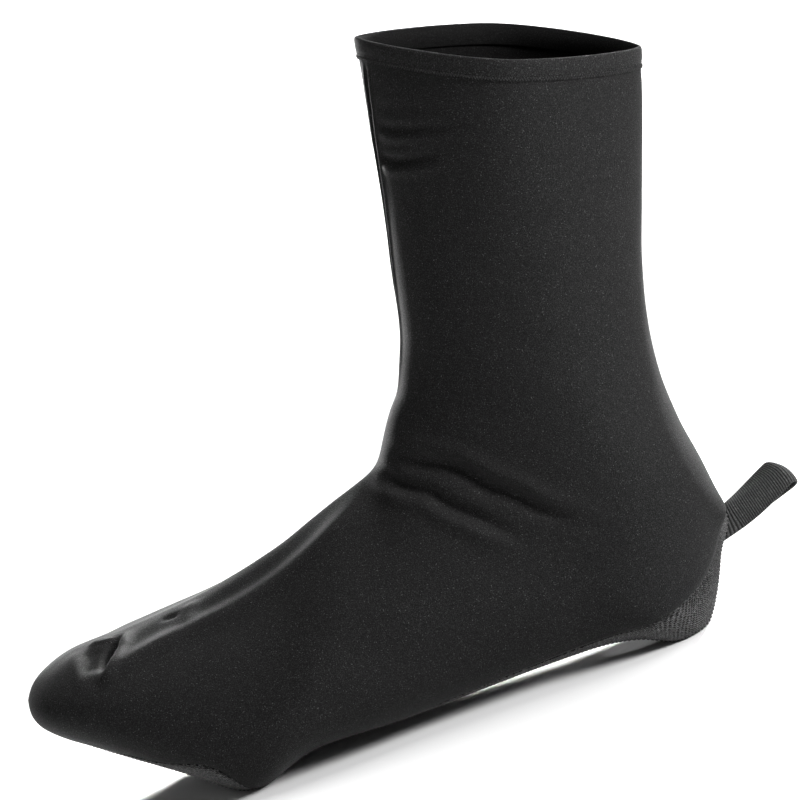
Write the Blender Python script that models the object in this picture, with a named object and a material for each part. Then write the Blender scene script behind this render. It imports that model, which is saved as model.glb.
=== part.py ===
"""Left cycling overshoe, standing empty on its sole.

A softshell upper with its shaft, a folded collar hem, a ribbed sole panel that climbs the heel,
and a webbing pull loop. +X runs from toe to heel, -Y is the outer side, +Z is up, the floor is Z = 0.
The origin is the middle of the bounding box's bottom. Sizes are in millimetres until a mesh is made.
"""

import math
from collections import namedtuple

import bmesh
import bpy
import numpy as np
from mathutils import Vector

MM = 0.001

# Driving dimensions, in millimetres.
FOOT_LENGTH = 285.0
BALL_WIDTH = 102.0
COLLAR_HEIGHT = 265.0
UPPER_WALL = 1.5
PANEL_WALL = 1.8
PIECE_GAP = 0.3
SEAM_RIDGE_HEIGHT = 0.7
SEAM_RIDGE_HALF_WIDTH = 1.3
HEM_DROP = 8.5
HEM_LAYER = 0.8
CLEAT_OPENING = (46.0, 34.0)
HEEL_OPENING = (30.0, 26.0)
LOOP_LENGTH = 33.6
LOOP_WIDTH = 13.0
LOOP_THICKNESS = 1.1
LOOP_TIP_RADIUS = 3.0
LOOP_PITCH_DEGREES = 15.0
# At the loop's sewn end and at its tip: how far its top leans to the outer side, how sharply the strap
# is folded along its length, and where that fold lies, as a share of the width from the inner edge.
LOOP_LEAN_DEGREES = (8.0, 42.0)
LOOP_FOLD_DEGREES = (100.0, 12.0)
LOOP_FOLD_SHARES = (0.3, 0.65)
# The strap turns back slantwise at the tip: its inner edge by this much earlier than its outer one, which
# falls off across the width with this power.
LOOP_SLANT = 5.5
LOOP_SLANT_POWER = 2.5

# Sections of the last, from the toe tip over the ball, round the heel and up to the collar.
# Each is a chord from its back end (sole, heel or calf) to its front end (instep or shin).
# along is a percentage of FOOT_LENGTH from the toe tip, up of COLLAR_HEIGHT, and outer, inner
# and sway of BALL_WIDTH. widest is where the chord is widest, from back to front. under and over
# are the roundness of its back and front halves: 1 is a straight roof, 2 an ellipse, 4 a box.
# seam is how far, in millimetres, the front seam lies to the outer side of the chord's front end.
Section = namedtuple(
    "Section",
    "back_along back_up front_along front_up outer inner sway widest under over seam",
)
SECTIONS = (
    Section(0.0, 19.9, 0.0, 19.9, 0.0, 0.0, 8.0, 0.50, 2.0, 2.0, 0.0),
    Section(0.0, 17.7, 1.2, 21.7, 11.0, 11.0, 8.0, 0.50, 2.0, 2.0, 0.0),
    Section(1.3, 15.5, 3.7, 23.4, 21.5, 21.0, 7.6, 0.48, 2.1, 2.0, 0.0),
    Section(4.3, 13.2, 8.3, 25.1, 30.5, 29.5, 6.8, 0.46, 2.2, 1.9, 0.0),
    Section(8.6, 10.3, 14.4, 25.8, 37.5, 36.5, 5.6, 0.43, 2.3, 1.8, 0.0),
    Section(14.0, 6.7, 22.4, 26.7, 43.0, 43.0, 4.0, 0.39, 2.4, 1.7, 0.0),
    Section(20.4, 2.1, 31.6, 28.4, 47.5, 47.5, 2.2, 0.36, 2.5, 1.6, 0.0),
    Section(27.2, -1.5, 41.3, 31.3, 50.0, 50.0, 0.6, 0.34, 2.7, 1.5, 0.0),
    Section(35.4, 1.4, 49.6, 34.8, 48.0, 46.0, -0.4, 0.34, 2.7, 1.5, 0.0),
    Section(47.1, 1.3, 55.6, 37.3, 44.0, 40.5, -0.8, 0.35, 2.6, 1.5, 0.0),
    Section(60.4, 1.5, 58.1, 39.6, 40.0, 37.5, -0.8, 0.37, 2.5, 1.6, 0.0),
    Section(75.1, 1.8, 59.8, 42.6, 37.5, 36.5, -0.4, 0.38, 2.4, 1.7, 0.0),
    Section(85.3, 0.4, 61.8, 45.8, 36.5, 36.0, 0.0, 0.39, 2.4, 1.8, 0.0),
    Section(92.6, -1.6, 63.2, 47.8, 36.0, 36.0, 0.0, 0.40, 2.4, 1.9, 0.2),
    Section(98.3, 8.8, 64.3, 50.4, 35.5, 35.5, 0.0, 0.42, 2.1, 1.9, 0.5),
    Section(100.2, 19.0, 65.4, 53.3, 34.5, 34.5, 0.0, 0.44, 2.0, 1.9, 0.9),
    Section(98.7, 30.2, 66.6, 57.1, 33.5, 33.5, 0.0, 0.46, 1.9, 1.9, 1.4),
    Section(98.5, 42.4, 68.0, 64.5, 33.0, 33.0, 0.0, 0.48, 1.8, 1.8, 2.2),
    Section(101.4, 56.5, 69.7, 74.2, 34.0, 34.0, 0.0, 0.49, 1.7, 1.7, 3.4),
    Section(105.4, 69.5, 71.0, 83.3, 36.0, 36.5, 0.0, 0.50, 1.6, 1.6, 4.8),
    Section(110.1, 85.5, 73.6, 100.3, 38.5, 40.0, 0.0, 0.50, 1.45, 1.35, 6.5),
)
COLLAR_STATION = len(SECTIONS) - 1

# The sole panel's edge: how far it reaches to each side of the sole's middle line, in millimetres
# along the surface, at a station (a row of SECTIONS, counted from 0). Its two ends are rounded.
PanelEdge = namedtuple("PanelEdge", "station outer inner")
PANEL_EDGES = (
    PanelEdge(3.0, 18.0, 18.0),
    PanelEdge(4.2, 28.0, 27.5),
    PanelEdge(5.2, 36.5, 35.5),
    PanelEdge(5.7, 45.0, 43.5),
    PanelEdge(6.2, 49.0, 47.5),
    PanelEdge(6.6, 44.0, 43.0),
    PanelEdge(7.0, 34.0, 33.5),
    PanelEdge(7.6, 29.0, 29.0),
    PanelEdge(8.5, 26.5, 26.5),
    PanelEdge(10.5, 24.0, 24.0),
    PanelEdge(11.4, 25.5, 25.5),
    PanelEdge(12.0, 31.0, 31.0),
    PanelEdge(12.6, 39.0, 39.0),
    PanelEdge(13.0, 39.5, 39.5),
    PanelEdge(13.4, 32.5, 32.5),
    PanelEdge(14.0, 14.0, 14.0),
    PanelEdge(14.6, 8.0, 8.0),
)
PANEL_ROUND_STATIONS = 0.4

RING_STEPS = 96
TIP_GIRTH = 1.0
NORMAL_REACH = 1.0
FLOOR_EASE = 1.0
NORMAL_STATIONS = 0.04
STATIONS_PER_ROW = 2
HEEL_TURN = (11.75, 13.75)
FOREFOOT_FLAT = (6.7, 7.2)
UPPER_COLUMNS = 17
PANEL_COLUMNS = 12
PANEL_END_SHARES = (0, 0.2, 0.5)
# The columns beside the front seam, and the most of a half girth that they take up near the toe tip.
SEAM_MARGIN = 4.5
MARGIN_SHARE = 0.25
RIDGE_SHARE = 0.1
SEAM_FADE_STATIONS = 4
SEAM_END_STATIONS = 0.1
CLEAT_STATION = 7.0
HEEL_STATION = 11.75
LOOP_STATION = 14.5
LOOP_LEG_STEPS = 8
LOOP_TIP_STEPS = 13
CUTTER_SIDES = 28
CUTTER_DEPTH = 60.0
HEM_BEVEL = 0.2
HEM_ROUND = (0.5, 0.8)
HEM_CROWN = 0.25
SHARP_DEGREES = 50


def natural_spline(places, values):
    """A smooth curve through values at places, as a function of place."""
    places = np.asarray(places, float)
    values = np.asarray(values, float)
    step = np.diff(places)
    count = len(places)
    matrix = np.eye(count)
    right = np.zeros(count)
    for i in range(1, count - 1):
        matrix[i, i - 1 : i + 2] = step[i - 1], 2 * (step[i - 1] + step[i]), step[i]
        right[i] = 6 * ((values[i + 1] - values[i]) / step[i] - (values[i] - values[i - 1]) / step[i - 1])
    bend = np.linalg.solve(matrix, right)

    def curve(place):
        i = int(np.clip(np.searchsorted(places, place) - 1, 0, count - 2))
        before = place - places[i]
        after = places[i + 1] - place
        ends = bend[i] * after**3 + bend[i + 1] * before**3
        start = (values[i] / step[i] - bend[i] * step[i] / 6) * after
        finish = (values[i + 1] / step[i] - bend[i + 1] * step[i] / 6) * before
        return ends / (6 * step[i]) + start + finish

    return curve


ROWS = range(len(SECTIONS))
SECTION_CURVES = {
    name: natural_spline(ROWS, [getattr(row, name) for row in SECTIONS]) for name in Section._fields
}
EDGE_PLACES = [row.station for row in PANEL_EDGES]
EDGE_CURVES = {
    side: natural_spline(EDGE_PLACES, [getattr(row, side) for row in PANEL_EDGES])
    for side in ("outer", "inner")
}
PANEL_START = EDGE_PLACES[0]
PANEL_END = EDGE_PLACES[-1]


def section_at(station):
    """The section at a station between two rows."""
    return Section(*(SECTION_CURVES[name](station) for name in Section._fields))


def above_floor(heights):
    """Heights kept at or above the floor, eased into it so that the flat spots have no crease round them."""
    share = np.clip((heights + FLOOR_EASE) / (2 * FLOOR_EASE), 0, 1)
    return np.where(heights > FLOOR_EASE, heights, FLOOR_EASE * share**2)


def ring(station):
    """The last's closed outline at a station, with the length run so far and the inner side's length.

    It starts at the sole's middle line, climbs the inner side and comes down the outer one.
    """
    row = section_at(station)
    back = np.array([row.back_along * FOOT_LENGTH, 0, row.back_up * COLLAR_HEIGHT]) / 100
    front = np.array([row.front_along * FOOT_LENGTH, 0, row.front_up * COLLAR_HEIGHT]) / 100
    turn = np.linspace(0, math.pi / 2, RING_STEPS)
    rise_low = row.widest * (1 - np.cos(turn) ** (2 / row.under))
    wide_low = np.sin(turn) ** (2 / row.under)
    rise_high = row.widest + (1 - row.widest) * np.sin(turn) ** (2 / row.over)
    wide_high = np.clip(np.cos(turn), 0, 1) ** (2 / row.over)
    rise = np.concatenate([rise_low, rise_high[1:]])
    wide = np.concatenate([wide_low, wide_high[1:]])
    sides = []
    for half_width, way in ((row.inner, 1), (row.outer, -1)):
        side = back + rise[:, None] * (front - back)
        side[:, 1] = (row.sway + way * half_width * wide) * BALL_WIDTH / 100
        side[:, 2] = above_floor(side[:, 2])
        sides.append(side)
    points = np.concatenate([sides[0], sides[1][-2::-1]])
    run = np.concatenate([[0], np.cumsum(np.linalg.norm(np.diff(points, axis=0), axis=1))])
    return points, run, run[len(rise) - 1]


def on_ring(outline, run, places):
    """Points of a ring at these distances along it. Distances may pass its start."""
    places = np.mod(places, run[-1]) if run[-1] > 0 else np.zeros_like(places)
    return np.stack([np.interp(places, run, outline[:, axis]) for axis in range(3)], axis=1)


def surface(station, places):
    """Points of the last's surface at a station, at these distances from the sole's middle line."""
    outline, run, _ = ring(station)
    return on_ring(outline, run, np.asarray(places, float))


def surface_normals(station, places):
    """Outward unit normals of the last there, from its slope along and across the station."""
    outline, run, _ = ring(station)
    places = np.asarray(places, float)
    if run[-1] < TIP_GIRTH:
        return np.tile([-1.0, 0.0, 0.0], (len(places), 1))
    across = on_ring(outline, run, places + NORMAL_REACH) - on_ring(outline, run, places - NORMAL_REACH)
    ends = []
    for near in (max(station - NORMAL_STATIONS, 0), min(station + NORMAL_STATIONS, COLLAR_STATION)):
        near_outline, near_run, _ = ring(near)
        ends.append(on_ring(near_outline, near_run, places / run[-1] * near_run[-1]))
    normal = np.cross(across, ends[1] - ends[0])
    return normal / np.linalg.norm(normal, axis=1)[:, None]


def panel_reach(station, side):
    """How far the sole panel's opening in the upper reaches to a side, or 0 past its ends."""
    from_end = min(station - PANEL_START, PANEL_END - station)
    if from_end <= 0:
        return 0.0
    share = min(from_end / PANEL_ROUND_STATIONS, 1)
    return EDGE_CURVES[side](station) * math.sqrt(1 - (1 - share) ** 2)


def new_object(name, mesh, material, collection):
    """A mesh as a named, shaded object of a collection."""
    obj = bpy.data.objects.new(name, mesh)
    mesh.materials.append(material)
    mesh.shade_smooth()
    mesh.set_sharp_from_angle(angle=math.radians(SHARP_DEGREES))
    collection.objects.link(obj)
    return obj


def mesh_from_faces(name, points, faces):
    """A mesh from points in millimetres and faces of their numbers."""
    bm = bmesh.new()
    verts = {i: bm.verts.new(Vector(points[i]) * MM) for i in sorted({i for face in faces for i in face})}
    for face in faces:
        bm.faces.new([verts[i] for i in face])
    mesh = bpy.data.meshes.new(name)
    bm.to_mesh(mesh)
    bm.free()
    return mesh


def grid_faces(points, rows, columns, closed):
    """Faces through rows of points. Points in one place count as one, and flat faces are left out."""
    _, first, same = np.unique(np.round(points, 3), axis=0, return_index=True, return_inverse=True)
    number = first[same.reshape(-1)].reshape(rows, columns)
    faces = []
    for i in range(rows - 1):
        for j in range(columns if closed else columns - 1):
            after = (j + 1) % columns
            corners = (number[i, j], number[i, after], number[i + 1, after], number[i + 1, j])
            face = [int(c) for k, c in enumerate(corners) if c != corners[k - 1]]
            if len(set(face)) == len(face) > 2:
                faces.append(face)
    return faces


def shell_mesh(name, outside, inside):
    """A closed wall between an outer and an inner grid of points, with its edges filled."""
    outer = np.concatenate(outside)
    faces = grid_faces(outer, len(outside), len(outside[0]), False)
    count = len(outer)
    sides = [(face[k - 1], face[k]) for face in faces for k in range(len(face))]
    rim = set(sides) - {(b, a) for a, b in sides}
    lining = [[i + count for i in reversed(face)] for face in faces]
    edges = [[b, a, a + count, b + count] for a, b in sorted(rim)]
    return mesh_from_faces(name, np.concatenate([outer, *inside]), faces + lining + edges)


def tube_mesh(name, rings, capped):
    """A closed tube through rings of points, either capped at both ends or joined end to end."""
    points = np.concatenate([*rings, *([] if capped else rings[:1])])
    columns = len(rings[0])
    rows = len(points) // columns
    faces = grid_faces(points, rows, columns, True)
    if capped:
        faces.append(list(reversed(range(columns))))
        faces.append(list(range((rows - 1) * columns, rows * columns)))
    return mesh_from_faces(name, points, faces)


def cloth(name, colour, roughness):
    """A matte textile in one colour."""
    material = bpy.data.materials.new(name)
    material.use_nodes = True
    shader = material.node_tree.nodes["Principled BSDF"]
    shader.inputs["Base Color"].default_value = (*colour, 1)
    shader.inputs["Roughness"].default_value = roughness
    shader.inputs["Metallic"].default_value = 0
    return material


def collar_share(distance):
    """The share of a row of SECTIONS that this distance below the collar edge takes up."""
    return distance / np.linalg.norm(surface(COLLAR_STATION, [0]) - surface(COLLAR_STATION - 1, [0]))


def upper_places(station):
    """Where the upper's columns lie, from the panel's inner edge over the front seam to its outer edge."""
    _, run, inner_length = ring(station)
    seam = inner_length + section_at(station).seam
    margin = min(SEAM_MARGIN, MARGIN_SHARE * inner_length)
    ridge = min(SEAM_RIDGE_HALF_WIDTH, RIDGE_SHARE * inner_length)
    rising = np.linspace(panel_reach(station, "inner"), seam - margin, UPPER_COLUMNS)
    falling = np.linspace(seam + margin, run[-1] - panel_reach(station, "outer"), UPPER_COLUMNS)
    return np.concatenate([rising, [seam - ridge, seam, seam + ridge], falling])


def hem_station():
    """The station of the hem's lower edge."""
    return COLLAR_STATION - collar_share(HEM_DROP)


def seam_ridge(station):
    """How high the front seam stands: it fades out towards the toe and ends below the hem."""
    below_hem = max(hem_station() - station, 0)
    return SEAM_RIDGE_HEIGHT * min(station / SEAM_FADE_STATIONS, below_hem / SEAM_END_STATIONS, 1)


def upper_ring(station):
    """The upper's outer and inner points at a station, with the ridge of its front seam."""
    places = upper_places(station)
    inside, outside = wall_points(station, places, UPPER_WALL)
    seam = UPPER_COLUMNS + 1
    outside[seam] += seam_ridge(station) * surface_normals(station, places[seam : seam + 1])[0]
    return outside, inside


def wall_points(station, places, wall):
    """The inner and outer points of a wall on the last's surface."""
    outside = surface(station, places)
    return outside - wall * surface_normals(station, places), outside


def upper_stations():
    """The upper's stations: two for each section, and more at the flat, the heel and the panel's ends."""
    top = COLLAR_STATION - collar_share(HEM_LAYER + PIECE_GAP)
    even = np.arange(0, COLLAR_STATION, 1 / STATIONS_PER_ROW)
    front = [PANEL_START + share * PANEL_ROUND_STATIONS for share in PANEL_END_SHARES]
    back = [PANEL_END - share * PANEL_ROUND_STATIONS for share in PANEL_END_SHARES]
    hem = [hem_station() - SEAM_END_STATIONS, hem_station()]
    heel = np.arange(HEEL_TURN[0], HEEL_TURN[1], 0.5 / STATIONS_PER_ROW)
    return np.unique(np.concatenate([even, FOREFOOT_FLAT, heel, hem, [top], front, back]))


def make_upper(material, collection):
    """The softshell upper: foot and shaft in one wall, open at the collar and along the sole panel."""
    rings = [upper_ring(station) for station in upper_stations()]
    mesh = shell_mesh("upper", [outside for outside, _ in rings], [inside for _, inside in rings])
    return new_object("upper", mesh, material, collection)


def make_sole_panel(material, collection, cutters):
    """The ribbed panel that closes the upper below, from under the toes to the top of the heel."""
    inset = PIECE_GAP * (PANEL_END - PANEL_START) / FOOT_LENGTH
    stations = [s for s in upper_stations() if PANEL_START + inset < s < PANEL_END - inset]
    rings = []
    for station in [PANEL_START + inset, *stations, PANEL_END - inset]:
        outer = max(panel_reach(station, "outer") - PIECE_GAP, 0)
        inner = max(panel_reach(station, "inner") - PIECE_GAP, 0)
        if station not in stations:
            outer = inner = 0
        rings.append(wall_points(station, np.linspace(-outer, inner, PANEL_COLUMNS), PANEL_WALL))
    mesh = shell_mesh("sole_panel", [outside for _, outside in rings], [inside for inside, _ in rings])
    obj = new_object("sole_panel", mesh, material, collection)
    for name, station, size in (
        ("cleat_opening", CLEAT_STATION, CLEAT_OPENING),
        ("heel_opening", HEEL_STATION, HEEL_OPENING),
    ):
        cutter = oval_cutter(name, surface(station, [0])[0], size, cutters)
        cut = obj.modifiers.new(name, "BOOLEAN")
        cut.operation = "DIFFERENCE"
        cut.object = cutter
    return obj


def oval_cutter(name, middle, size, cutters):
    """An upright oval prism through the sole at a point."""
    bm = bmesh.new()
    bmesh.ops.create_cone(bm, cap_ends=True, segments=CUTTER_SIDES, radius1=0.5, radius2=0.5, depth=1)
    bmesh.ops.scale(bm, vec=(size[0] * MM, size[1] * MM, CUTTER_DEPTH * MM), verts=bm.verts)
    bmesh.ops.translate(bm, vec=Vector(middle) * MM, verts=bm.verts)
    mesh = bpy.data.meshes.new(name)
    bm.to_mesh(mesh)
    bm.free()
    obj = bpy.data.objects.new(name, mesh)
    obj.hide_render = True
    obj.display_type = "WIRE"
    cutters.objects.link(obj)
    return obj


def make_collar_hem(material, collection):
    """The folded band over the upper's top edge: outer layer, fold and inner layer in one."""
    outer = PIECE_GAP + HEM_LAYER
    inner = UPPER_WALL + PIECE_GAP + HEM_LAYER
    round_in, round_down = HEM_ROUND
    # The band's outline across its edge: distance out from the upper's face, distance below the collar.
    outline = (
        (PIECE_GAP, HEM_DROP),
        (outer, HEM_DROP - HEM_BEVEL),
        (outer, round_down),
        (outer - round_in, 0),
        (-UPPER_WALL / 2, -HEM_CROWN),
        (-inner + round_in, 0),
        (-inner, round_down),
        (-inner, HEM_DROP - HEM_BEVEL),
        (-inner + HEM_LAYER, HEM_DROP),
        (-inner + HEM_LAYER, HEM_LAYER),
        (PIECE_GAP, HEM_LAYER),
    )
    edge = upper_ring(COLLAR_STATION)[0][:-1]
    down = upper_ring(hem_station())[0][:-1] - edge
    down /= np.linalg.norm(down, axis=1)[:, None]
    out = surface_normals(COLLAR_STATION, upper_places(COLLAR_STATION)[:-1])
    rings = [edge + out * away + down * drop for away, drop in outline]
    return new_object("collar_hem", tube_mesh("collar_hem", rings, capped=False), material, collection)


def loop_path():
    """The folded strap's middle line, as distances along the loop's axis and off it."""
    tip_start = LOOP_LENGTH - LOOP_THICKNESS / 2 - LOOP_TIP_RADIUS
    shares = np.arange(LOOP_LEG_STEPS) / LOOP_LEG_STEPS
    rises = shares**2 * (3 - 2 * shares)
    offs = LOOP_THICKNESS + (LOOP_TIP_RADIUS - LOOP_THICKNESS) * rises
    leg = list(zip(shares * tip_start, offs))
    turns = np.linspace(0, math.pi, LOOP_TIP_STEPS)
    tip = list(zip(tip_start + LOOP_TIP_RADIUS * np.sin(turns), LOOP_TIP_RADIUS * np.cos(turns)))
    return np.array(leg + tip + [(along, -off) for along, off in reversed(leg)])


def make_pull_loop(material, collection):
    """The webbing loop, folded along its length at the heel and flattening towards its tip."""
    root = surface(LOOP_STATION, [0])[0]
    heel = surface_normals(LOOP_STATION, [0])[0]
    pitch = math.radians(LOOP_PITCH_DEGREES)
    axis = np.array([math.cos(pitch), 0, math.sin(pitch)])
    up = np.array([-axis[2], 0, axis[0]])
    outward = np.array([0, -1.0, 0])
    alongs, offs = loop_path().T
    lean, fold, share = (
        np.interp(alongs, (0, LOOP_LENGTH), ends)[:, None]
        for ends in (np.radians(LOOP_LEAN_DEGREES), np.radians(LOOP_FOLD_DEGREES), LOOP_FOLD_SHARES)
    )
    top = []
    bottom = []
    at_fold = (lean + fold / 2, share, 1 / np.cos(fold / 2))
    for angle, spot, mitre in ((lean, 0, 1), at_fold, (lean + fold, 1, 1)):
        across = outward * np.cos(angle) - up * np.sin(angle)
        off_axis = (up * np.cos(angle) + outward * np.sin(angle)) * offs[:, None] * mitre
        slant = LOOP_SLANT * (alongs[:, None] / LOOP_LENGTH) ** 2 * (1 - spot) ** LOOP_SLANT_POWER
        line = root + axis * (alongs[:, None] - slant) + across * LOOP_WIDTH * (spot - share) + off_axis
        thick = np.cross(across, np.gradient(line, axis=0))
        thick *= LOOP_THICKNESS / 2 * mitre / np.linalg.norm(thick, axis=1)[:, None]
        top.append(line + thick)
        bottom.append(line - thick)
    rings = np.stack(top + bottom[::-1], axis=1)
    # Both ends are cut off parallel to the heel.
    for end in (0, -1):
        short = PIECE_GAP - (rings[end] - root) @ heel
        rings[end] += axis * (short / (axis @ heel))[:, None]
    return new_object("pull_loop", tube_mesh("pull_loop", list(rings), capped=True), material, collection)


def centre_on_floor(objects):
    """Parents the pieces to an empty that puts the middle of their box's bottom on the origin."""
    graph = bpy.context.evaluated_depsgraph_get()
    corners = []
    for obj in objects:
        mesh = obj.evaluated_get(graph).to_mesh()
        corners.extend(vertex.co.copy() for vertex in mesh.vertices)
    low = Vector(min(corner[axis] for corner in corners) for axis in range(3))
    high = Vector(max(corner[axis] for corner in corners) for axis in range(3))
    stand = bpy.data.objects.new("stand", None)
    bpy.context.scene.collection.objects.link(stand)
    stand.location = (-(low.x + high.x) / 2, -(low.y + high.y) / 2, -low.z)
    return stand


def main():
    for obj in list(bpy.data.objects):
        bpy.data.objects.remove(obj)
    overshoe = bpy.data.collections.new("overshoe")
    cutters = bpy.data.collections.new("cutters")
    for collection in (overshoe, cutters):
        bpy.context.scene.collection.children.link(collection)
    softshell = cloth("softshell", (0.012, 0.012, 0.013), 0.78)
    hem_cloth = cloth("hem_softshell", (0.016, 0.016, 0.017), 0.8)
    rib_knit = cloth("rib_knit", (0.02, 0.02, 0.021), 0.9)
    webbing = cloth("webbing", (0.015, 0.015, 0.016), 0.65)
    pieces = [
        make_upper(softshell, overshoe),
        make_collar_hem(hem_cloth, overshoe),
        make_sole_panel(rib_knit, overshoe, cutters),
        make_pull_loop(webbing, overshoe),
    ]
    stand = centre_on_floor(pieces)
    for obj in pieces + list(cutters.objects):
        obj.parent = stand


main()
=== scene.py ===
# %% [markdown]
# # A cycling overshoe
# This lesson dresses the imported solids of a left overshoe: a black softshell upper with a tall
# shaft, a folded hem round its collar, a ribbed knit panel under the sole and a webbing pull loop.
# The solids stay where they are for physics. Each soft piece is made again as a finer mesh on the
# same last, so it keeps the solid's form and gains the creases, seams, ribs and stitches.

import math
from collections import namedtuple

import bmesh
import bpy
import numpy as np
from mathutils import Matrix, Vector, kdtree, noise


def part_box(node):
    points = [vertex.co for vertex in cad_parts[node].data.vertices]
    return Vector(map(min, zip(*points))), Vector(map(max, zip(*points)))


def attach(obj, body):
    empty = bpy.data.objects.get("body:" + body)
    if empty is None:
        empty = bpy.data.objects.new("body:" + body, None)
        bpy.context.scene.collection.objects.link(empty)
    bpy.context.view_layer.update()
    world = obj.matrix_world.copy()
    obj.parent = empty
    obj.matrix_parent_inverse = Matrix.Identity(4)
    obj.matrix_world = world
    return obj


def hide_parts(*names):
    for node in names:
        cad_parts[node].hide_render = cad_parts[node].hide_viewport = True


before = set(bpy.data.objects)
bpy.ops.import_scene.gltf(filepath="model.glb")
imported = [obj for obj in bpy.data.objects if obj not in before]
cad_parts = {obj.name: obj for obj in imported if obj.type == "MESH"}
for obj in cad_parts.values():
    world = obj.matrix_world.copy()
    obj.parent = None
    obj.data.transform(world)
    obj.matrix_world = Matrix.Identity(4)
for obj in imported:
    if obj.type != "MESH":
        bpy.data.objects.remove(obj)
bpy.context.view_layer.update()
print("CAD nodes:", ", ".join(sorted(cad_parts)))

# %% [markdown]
# ## The last
# A shoemaker pulls cloth over a last, so the last comes first. It could be sculpted, but a table of
# sections can be read and changed: each row is a chord from the sole, heel or calf to the instep or
# shin, with its widths and roundness. A smooth curve through each column gives every ring between.

# %% The last's sections
MM = 0.001
FOOT_LENGTH = 285.0
BALL_WIDTH = 102.0
COLLAR_HEIGHT = 265.0

# along is a percentage of FOOT_LENGTH from the toe tip, up of COLLAR_HEIGHT, and outer, inner and
# sway of BALL_WIDTH. widest is a share of the chord. under and over are the roundness of its back
# and front halves. seam is the front seam's distance, in millimetres, from the chord's front end.
Section = namedtuple(
    "Section",
    "back_along back_up front_along front_up outer inner sway widest under over seam",
)
SECTIONS = (
    Section(0.0, 19.9, 0.0, 19.9, 0.0, 0.0, 8.0, 0.50, 2.0, 2.0, 0.0),
    Section(0.0, 17.7, 1.2, 21.7, 11.0, 11.0, 8.0, 0.50, 2.0, 2.0, 0.0),
    Section(1.3, 15.5, 3.7, 23.4, 21.5, 21.0, 7.6, 0.48, 2.1, 2.0, 0.0),
    Section(4.3, 13.2, 8.3, 25.1, 30.5, 29.5, 6.8, 0.46, 2.2, 1.9, 0.0),
    Section(8.6, 10.3, 14.4, 25.8, 37.5, 36.5, 5.6, 0.43, 2.3, 1.8, 0.0),
    Section(14.0, 6.7, 22.4, 26.7, 43.0, 43.0, 4.0, 0.39, 2.4, 1.7, 0.0),
    Section(20.4, 2.1, 31.6, 28.4, 47.5, 47.5, 2.2, 0.36, 2.5, 1.6, 0.0),
    Section(27.2, -1.5, 41.3, 31.3, 50.0, 50.0, 0.6, 0.34, 2.7, 1.5, 0.0),
    Section(35.4, 1.4, 49.6, 34.8, 48.0, 46.0, -0.4, 0.34, 2.7, 1.5, 0.0),
    Section(47.1, 1.3, 55.6, 37.3, 44.0, 40.5, -0.8, 0.35, 2.6, 1.5, 0.0),
    Section(60.4, 1.5, 58.1, 39.6, 40.0, 37.5, -0.8, 0.37, 2.5, 1.6, 0.0),
    Section(75.1, 1.8, 59.8, 42.6, 37.5, 36.5, -0.4, 0.38, 2.4, 1.7, 0.0),
    Section(85.3, 0.4, 61.8, 45.8, 36.5, 36.0, 0.0, 0.39, 2.4, 1.8, 0.0),
    Section(92.6, -1.6, 63.2, 47.8, 36.0, 36.0, 0.0, 0.40, 2.4, 1.9, 0.2),
    Section(98.3, 8.8, 64.3, 50.4, 35.5, 35.5, 0.0, 0.42, 2.1, 1.9, 0.5),
    Section(100.2, 19.0, 65.4, 53.3, 34.5, 34.5, 0.0, 0.44, 2.0, 1.9, 0.9),
    Section(98.7, 30.2, 66.6, 57.1, 33.5, 33.5, 0.0, 0.46, 1.9, 1.9, 1.4),
    Section(98.5, 42.4, 68.0, 64.5, 33.0, 33.0, 0.0, 0.48, 1.8, 1.8, 2.2),
    Section(101.4, 56.5, 69.7, 74.2, 34.0, 34.0, 0.0, 0.49, 1.7, 1.7, 3.4),
    Section(105.4, 69.5, 71.0, 83.3, 36.0, 36.5, 0.0, 0.50, 1.6, 1.6, 4.8),
    Section(110.1, 85.5, 73.6, 100.3, 38.5, 40.0, 0.0, 0.50, 1.45, 1.35, 6.5),
)
COLLAR_STATION = len(SECTIONS) - 1


# %% A smooth curve through a column of the table
def natural_spline(places, values):
    """A smooth curve through values at places, as a function of place."""
    places = np.asarray(places, float)
    values = np.asarray(values, float)
    step = np.diff(places)
    count = len(places)
    matrix = np.eye(count)
    right = np.zeros(count)
    for i in range(1, count - 1):
        matrix[i, i - 1 : i + 2] = step[i - 1], 2 * (step[i - 1] + step[i]), step[i]
        right[i] = 6 * ((values[i + 1] - values[i]) / step[i] - (values[i] - values[i - 1]) / step[i - 1])
    bend = np.linalg.solve(matrix, right)

    def curve(place):
        i = np.clip(np.searchsorted(places, place) - 1, 0, count - 2)
        before = place - places[i]
        after = places[i + 1] - place
        ends = bend[i] * after**3 + bend[i + 1] * before**3
        start = (values[i] / step[i] - bend[i] * step[i] / 6) * after
        finish = (values[i + 1] / step[i] - bend[i + 1] * step[i] / 6) * before
        return ends / (6 * step[i]) + start + finish

    return curve


SECTION_CURVES = {
    name: natural_spline(range(len(SECTIONS)), [getattr(row, name) for row in SECTIONS])
    for name in Section._fields
}

# %% Rings of the last
RING_STEPS = 96
FLOOR_EASE = 1.0
TIP_GIRTH = 1.0
NORMAL_REACH = 1.0
NORMAL_STATIONS = 0.04
SHAFT_STATION = 15.5
SIDE_EASE = 9.0
SIDE_REACH = 14.0
SIDE_SAMPLES = 9


def section_at(station):
    """The section at a station between two rows."""
    return Section(*(SECTION_CURVES[name](station) for name in Section._fields))


def above_floor(heights):
    """Heights kept at or above the floor, eased into it."""
    share = np.clip((heights + FLOOR_EASE) / (2 * FLOOR_EASE), 0, 1)
    return np.where(heights > FLOOR_EASE, heights, FLOOR_EASE * share**2)


def run_along(points):
    """The length gone so far at each point of a line."""
    return np.concatenate([[0], np.cumsum(np.linalg.norm(np.diff(points, axis=0), axis=1))])


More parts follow.
